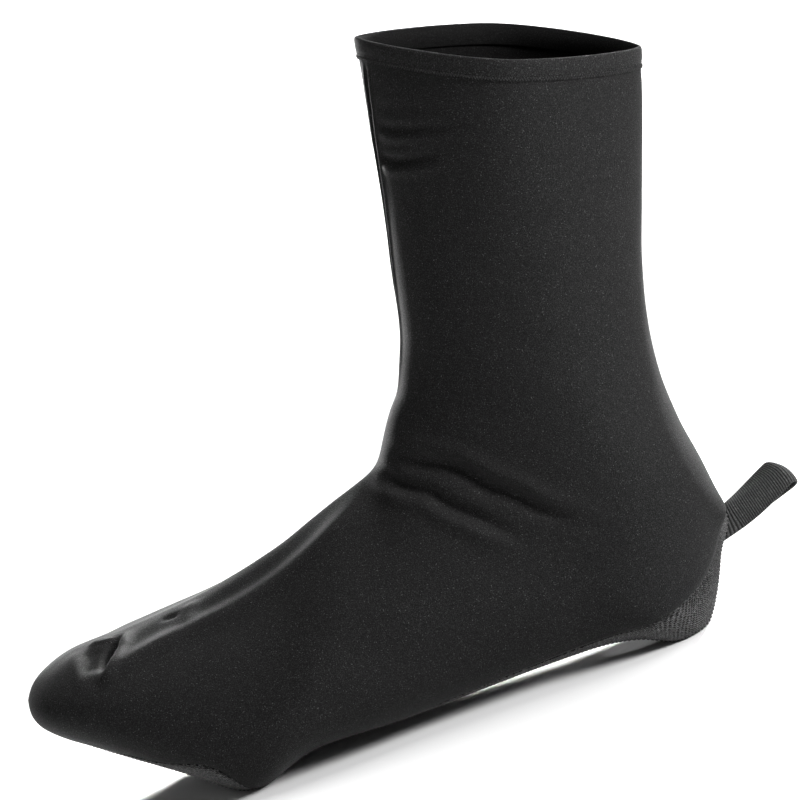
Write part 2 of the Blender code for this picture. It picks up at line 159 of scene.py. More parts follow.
def on_ring(outline, run, places):
    """Points of a ring at these distances along it. Distances may pass its start."""
    places = np.mod(places, run[-1]) if run[-1] > 0 else np.zeros_like(places)
    return np.stack([np.interp(places, run, outline[:, axis]) for axis in range(3)], axis=1)


def eased_sides(points, run, widest):
    """A ring whose widest places are rounded, as cloth that hangs from both ends of its section."""
    nearby = [on_ring(points, run, run + step) for step in np.linspace(-1, 1, SIDE_SAMPLES) * SIDE_EASE]
    share = sum(np.exp(-(((run - place) / SIDE_REACH) ** 2)) for place in widest)[:, None]
    return points + share * (np.mean(nearby, axis=0) - points)


def ring(station):
    """The last's outline at a station, the length run so far and the inner side's length."""
    row = section_at(station)
    back = np.array([row.back_along * FOOT_LENGTH, 0, row.back_up * COLLAR_HEIGHT]) / 100
    front = np.array([row.front_along * FOOT_LENGTH, 0, row.front_up * COLLAR_HEIGHT]) / 100
    turn = np.linspace(0, math.pi / 2, RING_STEPS)
    rise_low = row.widest * (1 - np.cos(turn) ** (2 / row.under))
    wide_low = np.sin(turn) ** (2 / row.under)
    rise_high = row.widest + (1 - row.widest) * np.sin(turn) ** (2 / row.over)
    wide_high = np.clip(np.cos(turn), 0, 1) ** (2 / row.over)
    rise = np.concatenate([rise_low, rise_high[1:]])
    wide = np.concatenate([wide_low, wide_high[1:]])
    sides = []
    for half_width, way in ((row.inner, 1), (row.outer, -1)):
        side = back + rise[:, None] * (front - back)
        side[:, 1] = (row.sway + way * half_width * wide) * BALL_WIDTH / 100
        side[:, 2] = above_floor(side[:, 2])
        sides.append(side)
    points = np.concatenate([sides[0], sides[1][-2::-1]])
    run = run_along(points)
    if station > SHAFT_STATION:
        points = eased_sides(points, run, (run[RING_STEPS - 1], run[-RING_STEPS]))
    return points, run, run[len(rise) - 1]


# %% The last's surface, in the frame of the solids
TRIAL_STATIONS = 400
TRIAL_PLACES = 24
RING_SHARES = np.linspace(0, 1, TRIAL_PLACES, endpoint=False)

trial_stations = np.linspace(0, COLLAR_STATION, TRIAL_STATIONS)
trial_rings = []
for trial in trial_stations:
    trial_outline, trial_run, _ = ring(trial)
    trial_rings.append(on_ring(trial_outline, trial_run, RING_SHARES * trial_run[-1]))
trial_rings = np.array(trial_rings)
upper_low, upper_high = (np.array(corner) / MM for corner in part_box("upper"))
last_low = trial_rings.reshape(-1, 3).min(axis=0)
last_high = trial_rings.reshape(-1, 3).max(axis=0)
middle_off = (upper_low + upper_high - last_low - last_high) / 2
STAND = np.array([upper_low[0] - last_low[0], middle_off[1], 0])
print("The last stands at", STAND.round(2), "mm")


def surface(station, places):
    """Points of the last's surface at a station, at these distances from the sole's middle line."""
    outline, run, _ = ring(station)
    return on_ring(outline, run, np.asarray(places, float)) + STAND


def surface_normals(station, places, reach=NORMAL_REACH):
    """Outward unit normals of the last there, from its slope along and across the station."""
    outline, run, _ = ring(station)
    places = np.asarray(places, float)
    if run[-1] < TIP_GIRTH:
        return np.tile([-1.0, 0.0, 0.0], (len(places), 1))
    across = on_ring(outline, run, places + reach) - on_ring(outline, run, places - reach)
    ends = []
    for near in (max(station - NORMAL_STATIONS, 0), min(station + NORMAL_STATIONS, COLLAR_STATION)):
        near_outline, near_run, _ = ring(near)
        ends.append(on_ring(near_outline, near_run, places / run[-1] * near_run[-1]))
    normal = np.cross(across, ends[1] - ends[0])
    return normal / np.linalg.norm(normal, axis=1)[:, None]


# %% [markdown]
# ## The sole panel's edge
# The upper and the knit panel meet in one seam. Both pieces read its place from this table, so they
# cannot drift apart. It is a distance along the last's surface from the sole's middle line.

# %% The seam between upper and sole panel
PANEL_ROUND_STATIONS = 0.4
PanelEdge = namedtuple("PanelEdge", "station outer inner")
PANEL_EDGES = (
    PanelEdge(3.0, 18.0, 18.0),
    PanelEdge(4.2, 28.0, 27.5),
    PanelEdge(5.2, 36.5, 35.5),
    PanelEdge(5.7, 45.0, 43.5),
    PanelEdge(6.2, 49.0, 47.5),
    PanelEdge(6.6, 44.0, 43.0),
    PanelEdge(7.0, 34.0, 33.5),
    PanelEdge(7.6, 29.0, 29.0),
    PanelEdge(8.5, 26.5, 26.5),
    PanelEdge(10.5, 24.0, 24.0),
    PanelEdge(11.4, 25.5, 25.5),
    PanelEdge(12.0, 31.0, 31.0),
    PanelEdge(12.6, 39.0, 39.0),
    PanelEdge(13.0, 39.5, 39.5),
    PanelEdge(13.4, 32.5, 32.5),
    PanelEdge(14.0, 14.0, 14.0),
    PanelEdge(14.6, 8.0, 8.0),
)
PANEL_START = PANEL_EDGES[0].station
PANEL_END = PANEL_EDGES[-1].station
EDGE_CURVES = {
    side: natural_spline([row.station for row in PANEL_EDGES], [getattr(row, side) for row in PANEL_EDGES])
    for side in ("outer", "inner")
}
SEAM_STATIONS = 260
SEAM_SAMPLE = 0.25
END_SHARES = (0, 0.004, 0.02, 0.05, 0.1, 0.18, 0.28, 0.4, 0.55, 0.75)


def panel_reach(station, side):
    """How far the panel's opening in the upper reaches to a side, or 0 past its ends."""
    from_end = min(station - PANEL_START, PANEL_END - station)
    if from_end <= 0:
        return 0.0
    share = min(from_end / PANEL_ROUND_STATIONS, 1)
    return EDGE_CURVES[side](station) * math.sqrt(1 - (1 - share) ** 2)


def stations_at_ends():
    """Stations crowded at the panel's rounded ends."""
    shares = np.array(END_SHARES) * PANEL_ROUND_STATIONS
    return np.concatenate([PANEL_START + shares, PANEL_END - shares])


def even_stations(first, last, spacing):
    """Stations whose rings lie about this far apart, on the mean of their steps."""
    steps = np.linalg.norm(np.diff(trial_rings, axis=0), axis=2).mean(axis=1)
    gone = np.concatenate([[0], np.cumsum(steps)])
    start, finish = np.interp((first, last), trial_stations, gone)
    count = int(round((finish - start) / spacing)) + 1
    return np.interp(np.linspace(start, finish, count), gone, trial_stations)


even_edge = np.linspace(PANEL_START, PANEL_END, SEAM_STATIONS)
edge_stations = np.unique(np.concatenate([even_edge, stations_at_ends()]))
outer_edge = [surface(s, [-panel_reach(s, "outer")])[0] for s in edge_stations]
inner_edge = [surface(s, [panel_reach(s, "inner")])[0] for s in edge_stations]
panel_seam = np.array(outer_edge + inner_edge[::-1])
seam_run = run_along(panel_seam)
seam_places = np.arange(0, seam_run[-1], SEAM_SAMPLE)
seam_points = np.stack([np.interp(seam_places, seam_run, panel_seam[:, axis]) for axis in range(3)], axis=1)
seam_tree = kdtree.KDTree(len(seam_points))
for number, point in enumerate(seam_points):
    seam_tree.insert(point, number)
seam_tree.balance()
print("Panel seam:", round(seam_run[-1]), "mm long")


def from_panel_seam(points):
    """How far points are from the seam between upper and panel."""
    return np.array([seam_tree.find(point)[2] for point in points])


# %% [markdown]
# ## Creases
# An empty cloth shoe keeps the creases of its last wearing. A cloth simulation would put them where it
# likes, so each one is listed as a line over the surface: a soft trough with a ridge
# beside it. The wall is then pushed in or out by the distance to these lines.


# %% Distance from points to a line
def smooth_line(points, per_span=6):
    """A smooth line through a few points."""
    points = np.asarray(points, float)
    shares = np.arange(len(points))
    curves = [natural_spline(shares, points[:, axis]) for axis in range(3)]
    fine = np.linspace(0, len(points) - 1, (len(points) - 1) * per_span + 1)
    return np.stack([curve(fine) for curve in curves], axis=1)


def along_line(points, line):
    """For each point: its offset from the line, the line's direction there and its share of the length."""
    steps = np.diff(line, axis=0)
    lengths = np.linalg.norm(steps, axis=1)
    gone = run_along(line)
    nearest = np.full(len(points), np.inf)
    offset = np.zeros_like(points)
    direction = np.zeros_like(points)
    share = np.zeros(len(points))
    for start, step, length, before in zip(line, steps, lengths, gone):
        part = np.clip((points - start) @ step / length**2, 0, 1)
        off = points - start - part[:, None] * step
        away = (off**2).sum(axis=1)
        nearer = away < nearest
        nearest[nearer] = away[nearer]
        offset[nearer] = off[nearer]
        direction[nearer] = step / length
        share[nearer] = (before + part[nearer] * length) / gone[-1]
    return offset, direction, share


def eased(share):
    """A share from 0 to 1, eased at both ends."""
    share = np.clip(share, 0, 1)
    return share * share * (3 - 2 * share)


# %% The creases of this overshoe
# points lie on the surface, in millimetres. depth and width are the trough's, and a fold that stands
# out has a depth below 0. ridge is the height of the fold beside it, and beside how far off it lies:
# positive is to the left of the line, looked at from outside. fade_in and fade_out are the shares of
# the line over which it grows and dies away.
Crease = namedtuple("Crease", "points depth width ridge beside fade_in fade_out")
TOE_CREASES = (
    Crease(
        ((-125, -21, 61), (-123, -17, 63), (-120, -11, 65), (-116, -3, 68), (-114, 2, 69)),
        8.0, 2.2, 0.0, 0.0, 0.5, 0.5,
    ),
    Crease(
        ((-128, -22, 59), (-125, -23, 59), (-121, -22, 60), (-117, -16, 63), (-113, -8, 67), (-111, 2, 69)),
        -2.4, 2.8, 0.0, 0.0, 0.2, 0.3,
    ),
    Crease(((-128, -19, 61), (-127, -10, 65), (-125, 0, 67)), 1.6, 4.0, 0.0, 0.0, 0.3, 0.3),
    Crease(((-135, 5, 66), (-134, -10, 63), (-133, -20, 59), (-130, -27, 56)), -0.6, 3.2, 0.0, 0.0, 0.2, 0.4),
    Crease(((-126, 7, 68), (-121, 3, 69), (-114, 1, 69)), -0.9, 1.2, 2.0, -2.6, 0.3, 0.3),
    Crease(((-97, -3, 70), (-93, -4, 70), (-89, -5, 71)), 1.4, 1.2, 0.0, 0.0, 0.4, 0.2),
    Crease(((-88, -14, 68), (-85, -8, 71), (-82, 0, 72)), -1.0, 3.4, 0.0, 0.0, 0.3, 0.3),
)
INSTEP_FOLDS = (
    Crease(
        ((-127, -22, 58), (-112, -20, 63), (-96, -18, 65), (-79, -18, 67), (-62, -19, 70), (-38, -18, 77),
         (-18, -16, 86), (0, -10, 97)),
        -1.8, 5.5, -0.6, 9.0, 0.12, 0.2,
    ),
)
ANKLE_CREASES = (
    Crease(
        ((3, -5, 101), (12, -20, 96), (21, -26, 92), (27, -30, 86), (35, -33, 79), (46, -36, 69),
         (58, -37, 58)),
        2.8, 3.0, 1.5, -6.0, 0.25, 0.4,
    ),
    Crease(
        ((8, -6, 106), (15, -17, 104), (33, -26, 98), (44, -31, 88), (53, -34, 81), (63, -36, 71),
         (75, -37, 63), (88, -37, 54)),
        3.2, 3.2, 1.8, 6.0, 0.3, 0.4,
    ),
    Crease(((8, -14, 102), (20, -25, 95), (33, -31, 85), (48, -35, 74)), -1.2, 3.0, 0.0, 0.0, 0.2, 0.5),
    Crease(((16, -34, 72), (40, -38, 59), (70, -37, 51), (99, -33, 50)), 1.2, 9.0, 0.8, 12.0, 0.4, 0.4),
    Crease(((-43, -41, 54), (-16, -46, 38), (14, -41, 30), (56, -37, 32)), 1.0, 10.0, 0.7, 13.0, 0.4, 0.4),
)
SHAFT_CREASES = (
    Crease(((49, -9, 237), (60, -22, 237), (75, -32, 233), (85, -36, 228)), 0.5, 2.6, 0.2, 4.0, 0.2, 0.5),
    Crease(((48, -9, 231), (57, -20, 229), (73, -31, 227), (88, -37, 225)), 1.3, 2.2, 0.6, -3.8, 0.1, 0.6),
    Crease(((46, -7, 225), (55, -19, 223), (71, -30, 222)), 0.6, 2.4, 0.3, 3.6, 0.2, 0.6),
    Crease(((45, -7, 219), (53, -18, 217), (65, -27, 217), (77, -33, 217)), 1.6, 2.2, 0.8, -3.8, 0.1, 0.6),
    Crease(((77, -34, 191), (94, -35, 184), (109, -30, 179)), 0.6, 5.0, 0.4, 7.0, 0.4, 0.4),
    Crease(((66, -31, 172), (84, -35, 166), (103, -31, 161)), 0.6, 5.0, 0.4, 7.0, 0.4, 0.4),
    Crease(((60, -31, 143), (82, -34, 134), (104, -27, 128)), 0.6, 6.0, 0.4, 8.0, 0.4, 0.4),
)
INNER_SHARE = 0.7
MIRROR = np.array([1.0, -1.0, 1.0])
REACH_IN_WIDTHS = 3.2


def crease_heights(points, normals):
    """How far the creases push each point of the upper along its normal."""
    heights = np.zeros(len(points))
    both_sides = INSTEP_FOLDS + ANKLE_CREASES
    jobs = [(crease, np.ones(3), 1.0, 1) for crease in TOE_CREASES + both_sides + SHAFT_CREASES]
    jobs += [(crease, MIRROR, INNER_SHARE, -1) for crease in both_sides]
    for crease, mirror, strength, way in jobs:
        line = smooth_line(np.array(crease.points) * mirror)
        reach = abs(crease.beside) + REACH_IN_WIDTHS * crease.width
        near = np.all((points > line.min(axis=0) - reach) & (points < line.max(axis=0) + reach), axis=1)
        offset, direction, share = along_line(points[near], line)
        across = (offset * np.cross(normals[near], direction)).sum(axis=1) * way
        away = np.linalg.norm(offset, axis=1)
        fade = eased(share / crease.fade_in) * eased((1 - share) / crease.fade_out)
        beyond = np.exp(-((away**2 - across**2).clip(0) / crease.width**2))
        trough = crease.depth * np.exp(-((across / crease.width) ** 2))
        ridge = crease.ridge * np.exp(-(((across - crease.beside) / crease.width) ** 2))
        heights[near] += strength * fade * beyond * (ridge - trough)
    return heights


# %% [markdown]
# ## The upper
# Softshell is a thick, stretchy laminate. The upper could be a subdivided cage, but the front
# seam and the edge at the sole panel need closer columns than the rest, so the grid is laid over the last
# directly: even rings, columns that crowd where detail is small, and a Solidify wall inside.

# %% Where the upper's columns lie
UPPER_WALL = 1.5
UPPER_SPACING = 1.35
SIDE_COLUMNS = 52
SEAM_MARGIN = 4.5
MARGIN_SHARE = 0.25
SEAM_OFFSETS = np.array([3.2, 2.4, 1.9, 1.5, 1.15, 0.85, 0.55, 0.25])
EDGE_OFFSETS = np.array([0.0, 0.5, 1.1, 1.9, 3.0])
FULL_EDGE_LENGTH = 20.0
HEM_DROP = 8.5
HEM_LAYER = 0.8
UPPER_END = 2.4
PIECE_GAP = 0.3


def collar_share(distance):
    """The share of a row of SECTIONS that this distance below the collar edge takes up."""
    return distance / np.linalg.norm(surface(COLLAR_STATION, [0]) - surface(COLLAR_STATION - 1, [0]))


def side_places(start, finish):
    """Places from the panel's edge to the front seam's margin, crowded at the edge."""
    length = finish - start
    edge = EDGE_OFFSETS * np.clip(length / FULL_EDGE_LENGTH, -1, 1)
    return np.concatenate([start + edge, np.linspace(start + edge[-1], finish, SIDE_COLUMNS)[1:]])


def upper_places(station):
    """Where the upper's columns lie, and how far each is from the front seam."""
    _, run, inner_length = ring(station)
    seam = inner_length + section_at(station).seam
    margin = min(SEAM_MARGIN, MARGIN_SHARE * inner_length)
    near = SEAM_OFFSETS * margin / SEAM_MARGIN
    rising = side_places(panel_reach(station, "inner"), seam - margin)
    falling = side_places(run[-1] - panel_reach(station, "outer"), seam + margin)[::-1]
    places = np.concatenate([rising, seam - near, [seam], seam + near[::-1], falling])
    return places, places - seam


# %% The upper's grid on the last
top_station = COLLAR_STATION - collar_share(UPPER_END)
hem_station = COLLAR_STATION - collar_share(HEM_DROP)
upper_stations = np.unique(np.concatenate([even_stations(0, top_station, UPPER_SPACING), stations_at_ends()]))
upper_points = []
upper_normals = []
seam_distance = []
for station in upper_stations:
    places, from_seam = upper_places(station)
    upper_points.append(surface(station, places))
    upper_normals.append(surface_normals(station, places))
    seam_distance.append(from_seam)
upper_points = np.array(upper_points)
upper_normals = np.array(upper_normals)
seam_distance = np.array(seam_distance)
grid_shape = upper_points.shape
print("Upper grid:", grid_shape[0], "rings of", grid_shape[1], "columns")

# %% Press creases, seams and a soft unevenness into it
RIDGE_HEIGHT = 0.12
RIDGE_WIDTH = 2.5
SHOULDER_HEIGHT = 0.5
SHOULDER_OFF = 1.7
SHOULDER_WIDTH = 0.8
GROOVE_DEPTH = 1.6
GROOVE_WIDTH = 0.8
GROOVE_STATIONS = (12.0, 15.0)
SEAM_FADE_STATIONS = 4
EDGE_DEPTH = 0.5
EDGE_WIDTH = 1.6
WAVES = ((38.0, 0.55), (13.0, 0.16))
HEM_SEAT = 0.2
HEM_EASE = 0.12
LOWEST = 0.05
LOOP_STATION = 14.5
HEEL_PULL = 3.2
HEEL_PULL_WIDTH = 9.0
loop_root = surface(LOOP_STATION, [0])[0]


def heel_pull(points):
    """How far the sewn-in loop draws the cloth of the heel out round it."""
    return HEEL_PULL * np.exp(-((points - loop_root) ** 2).sum(axis=1) / HEEL_PULL_WIDTH**2)


def soft_waves(points):
    """The slight unevenness of cloth that nothing fills."""
    heights = np.zeros(len(points))
    for size, height in WAVES:
        heights += [height * noise.noise(Vector(point / size)) for point in points]
    return heights


flat_points = upper_points.reshape(-1, 3)
flat_normals = upper_normals.reshape(-1, 3)
panel_roll = -EDGE_DEPTH * np.exp(-((from_panel_seam(flat_points) / EDGE_WIDTH) ** 2))
seam_strength = np.clip(upper_stations / SEAM_FADE_STATIONS, 0, 1)[:, None]
on_shaft = eased((upper_stations - GROOVE_STATIONS[0]) / (GROOVE_STATIONS[1] - GROOVE_STATIONS[0]))[:, None]
ridge = RIDGE_HEIGHT * np.exp(-((seam_distance / RIDGE_WIDTH) ** 2))
shoulders = SHOULDER_HEIGHT * np.exp(-(((np.abs(seam_distance) - SHOULDER_OFF) / SHOULDER_WIDTH) ** 2))
groove = GROOVE_DEPTH * np.exp(-((seam_distance / GROOVE_WIDTH) ** 2))
front_seam = seam_strength * (ridge + on_shaft * (shoulders - groove - ridge))
heights = front_seam.reshape(-1) + panel_roll
heights += crease_heights(flat_points, flat_normals) + soft_waves(flat_points) + heel_pull(flat_points)
under_hem = np.repeat(eased((upper_stations - hem_station) / HEM_EASE + 1), grid_shape[1])
heights = heights * (1 - under_hem) - HEM_SEAT * under_hem
pressed = flat_points + heights[:, None] * flat_normals
pressed[:, 2] = pressed[:, 2].clip(LOWEST)
print("Creases reach from", heights.min().round(1), "to", heights.max().round(1), "mm")

# %% [markdown]
# ## Meshes from grids
# Every sheet here is a grid of points, so one helper turns a grid into a mesh and merges points that lie in
# one place, such as the toe tip or the closed back of the shaft. Solidify then gives the wall.

# %% Helpers that make pieces
WELD = 0.002


def grid_mesh(name, grid, closed_rows=False, closed_columns=False):
    """A mesh through a grid of points in millimetres, open or closed either way."""
    rows, columns = grid.shape[:2]
    number = np.arange(rows * columns).reshape(rows, columns)
    if closed_rows:
        number = np.concatenate([number, number[:1]])
    if closed_columns:
        number = np.concatenate([number, number[:, :1]], axis=1)
    corners = (number[:-1, :-1], number[:-1, 1:], number[1:, 1:], number[1:, :-1])
    faces = np.stack(corners, axis=-1).reshape(-1, 4)
    mesh = bpy.data.meshes.new(name)
    mesh.from_pydata((grid.reshape(-1, 3) * MM).tolist(), [], faces.tolist())
    return mesh


def weld(mesh):
    """Merges points that lie in one place."""
    bm = bmesh.new()
    bm.from_mesh(mesh)
    bmesh.ops.remove_doubles(bm, verts=bm.verts, dist=WELD * MM)
    bm.to_mesh(mesh)
    bm.free()


def add_piece(mesh, material, wall=0.0, inside_shade=None):
    """An object of the overshoe. Where a wall is given it lies inside the surface, and a darker cloth on
    that, painted shade for the inside.
    """
    obj = bpy.data.objects.new(mesh.name, mesh)
    bpy.context.scene.collection.objects.link(obj)
    mesh.materials.append(material)
    mesh.shade_smooth()
    if wall:
        solid = obj.modifiers.new("wall", "SOLIDIFY")
        solid.thickness = wall * MM
        solid.offset = -1
        if inside_shade:
            mesh.materials.append(inside_shade)
            solid.material_offset = 1
    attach(obj, "root")
    print(obj.name, len(mesh.polygons), "faces")
    return obj


# %% [markdown]
# ## Cloth finishes
# Black softshell shows a fine pale speckle of fibre ends and a few brighter flecks, and a soft sheen at
# grazing light. All the textiles here share that, so the speckle is one node group with its own grain in
# each material. The sheen is the same all over and stays on the shader.

# %% A node group for fibre speckle
def add_node(tree, kind, values=None, **settings):
    """A node of a tree with some of its settings, and values of its sockets."""
    made = tree.nodes.new(kind)
    for name, value in settings.items():
        setattr(made, name, value)
    for socket, value in (values or {}).items():
        made.inputs[socket].default_value = value
    return made


# The noise values between which the speckle and the rarer flecks grow from nothing to full.
SHADE_RANGE = (0.4, 0.75)
FLECK_RANGE = (0.66, 0.78)
FINE_ROUGHNESS = 0.65


def make_fibre_speckle():
    """The group: fine speckle and sparse flecks as a shade, and a height for bump."""
    group = bpy.data.node_groups.new("fibre_speckle", "ShaderNodeTree")
    for name in ("Grain", "Fleck Grain"):
        group.interface.new_socket(name, in_out="INPUT", socket_type="NodeSocketFloat")
    for name in ("Shade", "Fleck", "Height"):
        group.interface.new_socket(name, in_out="OUTPUT", socket_type="NodeSocketFloat")
    given = add_node(group, "NodeGroupInput")
    put = add_node(group, "NodeGroupOutput")
    place = add_node(group, "ShaderNodeTexCoord")
    fine = add_node(group, "ShaderNodeTexNoise", {"Detail": 1.0, "Roughness": FINE_ROUGHNESS})
    coarse = add_node(group, "ShaderNodeTexNoise", {"Detail": 1.0})
    ranges = [{"From Min": low, "From Max": high} for low, high in (SHADE_RANGE, FLECK_RANGE)]
    shade, fleck = (
        add_node(group, "ShaderNodeMapRange", values, interpolation_type="SMOOTHSTEP") for values in ranges
    )
    links = group.links
    for texture, grain in ((fine, "Grain"), (coarse, "Fleck Grain")):
        links.new(place.outputs["Object"], texture.inputs["Vector"])
        links.new(given.outputs[grain], texture.inputs["Scale"])
    links.new(coarse.outputs["Fac"], fleck.inputs["Value"])
    links.new(fine.outputs["Fac"], shade.inputs["Value"])
    links.new(shade.outputs["Result"], put.inputs["Shade"])
    links.new(fleck.outputs["Result"], put.inputs["Fleck"])
    links.new(fine.outputs["Fac"], put.inputs["Height"])
    return group


fibre_speckle = make_fibre_speckle()

# %% A cloth material around it
# dark and pale are the greys of the speckle, and fleck of the bright fibre ends. grain and fleck_grain
# are how many fit along a metre. The rest are values of the shader and of its bump.
Finish = namedtuple("Finish", "dark pale fleck grain fleck_grain roughness sheen sheen_roughness bump")
SPECULAR = 0.15
ROUGHNESS_SPREAD = 0.08
BUMP_DISTANCE = 0.3


def make_cloth(name, finish):
    """A matte cloth with fibre speckle, and the nodes that other patterns join."""
    material = bpy.data.materials.new(name)
    material.use_nodes = True
    tree = material.node_tree
    shader = tree.nodes["Principled BSDF"]
    shader.inputs["Specular IOR Level"].default_value = SPECULAR
    shader.inputs["Sheen Weight"].default_value = finish.sheen
    shader.inputs["Sheen Roughness"].default_value = finish.sheen_roughness
    grains = {"Grain": finish.grain, "Fleck Grain": finish.fleck_grain}
    speckle = add_node(tree, "ShaderNodeGroup", grains, node_tree=fibre_speckle)
    dark, pale, bright = ((shade, shade, shade, 1) for shade in (finish.dark, finish.pale, finish.fleck))
    fibres = add_node(tree, "ShaderNodeMix", {"A": dark, "B": pale}, data_type="RGBA")
    flecks = add_node(tree, "ShaderNodeMix", {"B": bright}, data_type="RGBA")
    roughest = finish.roughness + ROUGHNESS_SPREAD
    smoothest = finish.roughness - ROUGHNESS_SPREAD
    rough = add_node(tree, "ShaderNodeMapRange", {"To Min": roughest, "To Max": smoothest})
    bump = add_node(tree, "ShaderNodeBump", {"Strength": finish.bump, "Distance": BUMP_DISTANCE * MM})
    links = tree.links
    links.new(speckle.outputs["Shade"], fibres.inputs["Factor"])
    links.new(fibres.outputs["Result"], flecks.inputs["A"])
    links.new(speckle.outputs["Fleck"], flecks.inputs["Factor"])
    links.new(flecks.outputs["Result"], shader.inputs["Base Color"])
    links.new(speckle.outputs["Shade"], rough.inputs["Value"])
    links.new(rough.outputs["Result"], shader.inputs["Roughness"])
    links.new(speckle.outputs["Height"], bump.inputs["Height"])
    links.new(bump.outputs["Normal"], shader.inputs["Normal"])
    return material


softshell = make_cloth("softshell_black", Finish(0.002, 0.016, 0.08, 2600.0, 2200.0, 0.7, 0.05, 0.35, 0.4))
hem_cloth = make_cloth("softshell_hem", Finish(0.0025, 0.02, 0.08, 2400.0, 2000.0, 0.72, 0.15, 0.35, 0.5))
# A near-black cloth, darker than the outside, for the inner faces: painted shade for the inside of the shoe.
painted_inside_shade = make_cloth("painted_inside_shade", Finish(0.001, 0.006, 0.02, 2600.0, 2200.0, 0.85, 0.0, 0.35, 0.4))
thread = make_cloth("black_thread", Finish(0.01, 0.05, 0.08, 3000.0, 900.0, 0.6, 0.1, 0.3, 0.4))

# %% The upper's mesh
upper_mesh = grid_mesh("upper_softshell", pressed.reshape(grid_shape))
weld(upper_mesh)
# The wall's inner face takes the darker cloth, painted shade inside the upper.
upper = add_piece(upper_mesh, softshell, UPPER_WALL, painted_inside_shade)
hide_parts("upper")

# %% [markdown]
# ## The collar hem
# The top edge is folded over and coverstitched. A bevelled curve could do it, but the band lies on the
# upper like a second skin, so its outline is carried round the collar as a closed tube with a rounded fold.

# %% The folded band
HEM_COLUMNS = 420
STITCH_DIP = 0.2
ZIGZAG_DROP = 7.6
DASH_DROP = 6.3
HEM_FACE = 0.3
HEM_WAVE_HEIGHT = 0.12
HEM_WAVE_SIZE = 9.0
COLLAR_REACH = 6.0
hem_inner = UPPER_WALL + PIECE_GAP + HEM_LAYER
# The band's outline across its edge: distance out from the upper's face, distance below the collar.
HEM_OUTLINE = (
    (0.1, HEM_DROP - 0.1), (0.4, HEM_DROP), (HEM_FACE - 0.15, HEM_DROP - 0.25),
    (HEM_FACE - 0.06, ZIGZAG_DROP + 0.35), (HEM_FACE - STITCH_DIP, ZIGZAG_DROP), (HEM_FACE - 0.04, 7.0),
    (HEM_FACE - STITCH_DIP, DASH_DROP), (HEM_FACE, 5.4), (HEM_FACE + 0.1, 4.0), (HEM_FACE + 0.05, 2.8),
    (0.35, 1.5), (0.1, 0.5), (-0.2, 0.05), (-0.55, -0.1), (-0.95, 0.05), (-1.3, 0.5), (-1.75, 1.5),
    (-2.25, 2.8), (-hem_inner, 4.5), (-hem_inner, HEM_DROP - 0.6), (-hem_inner + 0.2, HEM_DROP - 0.1),
    (-hem_inner + HEM_LAYER, HEM_DROP), (-hem_inner + HEM_LAYER, UPPER_END), (-HEM_SEAT + 0.05, UPPER_END),
)
_, collar_run, _ = ring(COLLAR_STATION)
_, lower_run, _ = ring(hem_station)
collar_shares = np.arange(HEM_COLUMNS) / HEM_COLUMNS


def collar_lines(shares):
    """Points of the collar's edge, with the directions down the shaft and out of it."""
    edge = surface(COLLAR_STATION, shares * collar_run[-1])
    down = surface(hem_station, shares * lower_run[-1]) - edge
    down /= np.linalg.norm(down, axis=1)[:, None]
    return edge, down, surface_normals(COLLAR_STATION, shares * collar_run[-1], COLLAR_REACH)


edge, down, out = collar_lines(collar_shares)
waves = np.array([noise.noise(Vector(point / HEM_WAVE_SIZE)) for point in edge])
hem_waves = HEM_WAVE_HEIGHT * waves[:, None]
hem_grid = np.stack([edge + out * (away + hem_waves) + down * drop for away, drop in HEM_OUTLINE])
hem_mesh = grid_mesh("collar_hem_fold", hem_grid, True, True)
hem = add_piece(hem_mesh, hem_cloth)
# The band's inner rows take the same darker cloth, painted shade inside the collar.
hem_mesh.materials.append(painted_inside_shade)
inner_rows = np.array([away < -UPPER_WALL / 2 for away, _ in HEM_OUTLINE])
hem_mesh.polygons.foreach_set("material_index", np.repeat(inner_rows, HEM_COLUMNS).astype(np.int32))
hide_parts("collar_hem")

# %% [markdown]
# ## Stitches
# Stitches are thread lying on cloth, so they are round tubes, not a picture of them. One helper sweeps a
# thread along many lines at once, and the whole row becomes one mesh.

# %% A helper that sweeps thread
THREAD_SIDES = 6


def thread_mesh(name, lines, outs, radius, closed=False):
    """Round thread along lines of points, as one mesh. outs are the directions away from the cloth."""
    if closed:
        runs = np.roll(lines, -1, axis=1) - np.roll(lines, 1, axis=1)
    else:
        runs = np.gradient(lines, axis=1)
    runs /= np.linalg.norm(runs, axis=2)[..., None]
    sideways = np.cross(runs, outs)
    sideways /= np.linalg.norm(sideways, axis=2)[..., None]
    lift = np.cross(sideways, runs)
    turns = np.linspace(0, 2 * math.pi, THREAD_SIDES, endpoint=False)
    wheel = sideways[:, :, None] * np.cos(turns)[:, None] + lift[:, :, None] * np.sin(turns)[:, None]
    rings = lines[:, :, None] + radius * wheel
    count, steps = lines.shape[:2]
    number = np.arange(count * steps * THREAD_SIDES).reshape(count, steps, THREAD_SIDES)
    ends = number[:, [0, -1]]
    if closed:
        number = np.concatenate([number, number[:, :1]], axis=1)
    around = np.roll(number, -1, axis=2)
    corners = (number[:, :-1], around[:, :-1], around[:, 1:], number[:, 1:])
    faces = np.stack(corners, axis=-1).reshape(-1, 4).tolist()
    if not closed:
        faces += ends[:, 0, ::-1].tolist() + ends[:, 1].tolist()
    mesh = bpy.data.meshes.new(name)
    mesh.from_pydata((rings.reshape(-1, 3) * MM).tolist(), [], faces)
    return mesh


# %% The coverstitch of the hem
ZIGZAG_PITCH = 1.25
ZIGZAG_HALF_HEIGHT = 0.55
ZIGZAG_STEPS = 8
ZIGZAG_LIFT = 0.02
DASH_PITCH = 2.3
DASH_LENGTH = 1.5
DASH_STEPS = 5
DASH_SEAT = 0.12
DASH_SINK = 0.35
THREAD_RADIUS = 0.16

